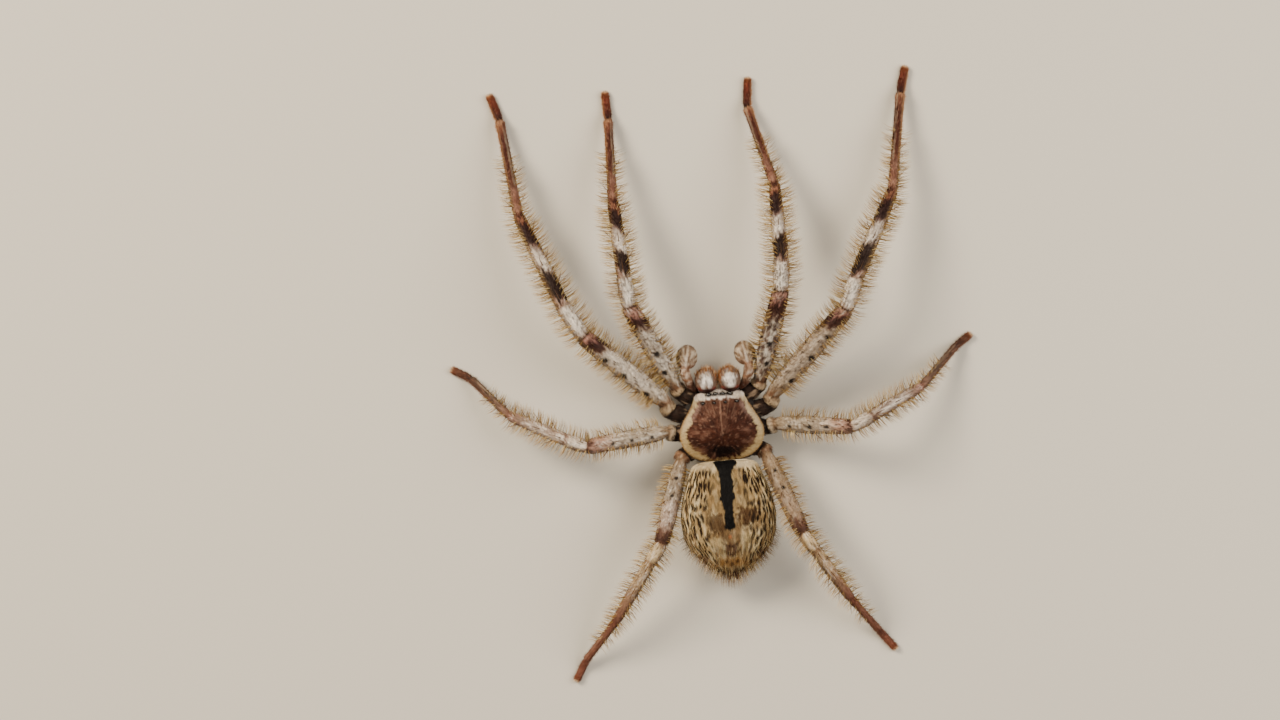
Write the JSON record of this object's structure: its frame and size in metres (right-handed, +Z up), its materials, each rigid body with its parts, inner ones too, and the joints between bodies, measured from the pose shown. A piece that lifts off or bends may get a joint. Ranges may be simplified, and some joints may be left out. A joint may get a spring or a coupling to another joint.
{
  "type": "huntsman spider",
  "caption": "Large grey huntsman spider standing flat with its legs spread, head forward; dark stripe along the abdomen, banded hairy legs.",
  "frame": {"origin": "on the surface that the spider stands on, under the middle of its bounding box", "axes": "+Y the way the spider faces, +X its right side, +Z up, away from the surface"},
  "size_m": [0.092, 0.1044, 0.0153],
  "materials": {
    "carapace": "matte, short brown and cream hair over a hard shell",
    "abdomen": "matte, short cream hair with dark streaks",
    "hips": "satin, pinkish cream with dark seams",
    "femora": "matte, grey-white hair with dark spots",
    "tibiae": "matte, banded dark brown and grey-white hair",
    "feet": "satin, red-brown with fine hair",
    "underside": "matte",
    "jaws": "satin, dark red-brown with white and rust hair",
    "palps": "matte, rust-brown hair",
    "fangs": "gloss, near black",
    "eyes": "gloss, black"
  },
  "bodies": {
    "root": {"leg_1_left_hip": "hips", "leg_1_left_femur": "femora", "leg_1_left_tibia": "tibiae", "leg_1_left_metatarsus": "feet", "leg_1_left_tarsus": "feet", "leg_1_right_hip": "hips", "leg_1_right_femur": "femora", "leg_1_right_tibia": "tibiae", "leg_1_right_metatarsus": "feet", "leg_1_right_tarsus": "feet", "leg_2_left_hip": "hips", "leg_2_left_femur": "femora", "leg_2_left_tibia": "tibiae", "leg_2_left_metatarsus": "feet", "leg_2_left_tarsus": "feet", "leg_2_right_hip": "hips", "leg_2_right_femur": "femora", "leg_2_right_tibia": "tibiae", "leg_2_right_metatarsus": "feet", "leg_2_right_tarsus": "feet", "leg_3_left_hip": "hips", "leg_3_left_femur": "femora", "leg_3_left_tibia": "tibiae", "leg_3_left_metatarsus": "feet", "leg_3_left_tarsus": "feet", "leg_3_right_hip": "hips", "leg_3_right_femur": "femora", "leg_3_right_tibia": "tibiae", "leg_3_right_metatarsus": "feet", "leg_3_right_tarsus": "feet", "leg_4_left_hip": "hips", "leg_4_left_femur": "femora", "leg_4_left_tibia": "tibiae", "leg_4_left_metatarsus": "feet", "leg_4_left_tarsus": "feet", "leg_4_right_hip": "hips", "leg_4_right_femur": "femora", "leg_4_right_tibia": "tibiae", "leg_4_right_metatarsus": "feet", "leg_4_right_tarsus": "feet", "carapace": "carapace", "sternum": "underside", "abdomen": "abdomen", "pedicel": "underside", "spinnerets": "underside", "chelicera_left": "jaws", "fang_left": "fangs", "palp_left": "palps", "eye_front_middle_left": "eyes", "eye_front_side_left": "eyes", "eye_back_middle_left": "eyes", "eye_back_side_left": "eyes", "chelicera_right": "jaws", "fang_right": "fangs", "palp_right": "palps", "eye_front_middle_right": "eyes", "eye_front_side_right": "eyes", "eye_back_middle_right": "eyes", "eye_back_side_right": "eyes"}
  },
  "joints": []
}
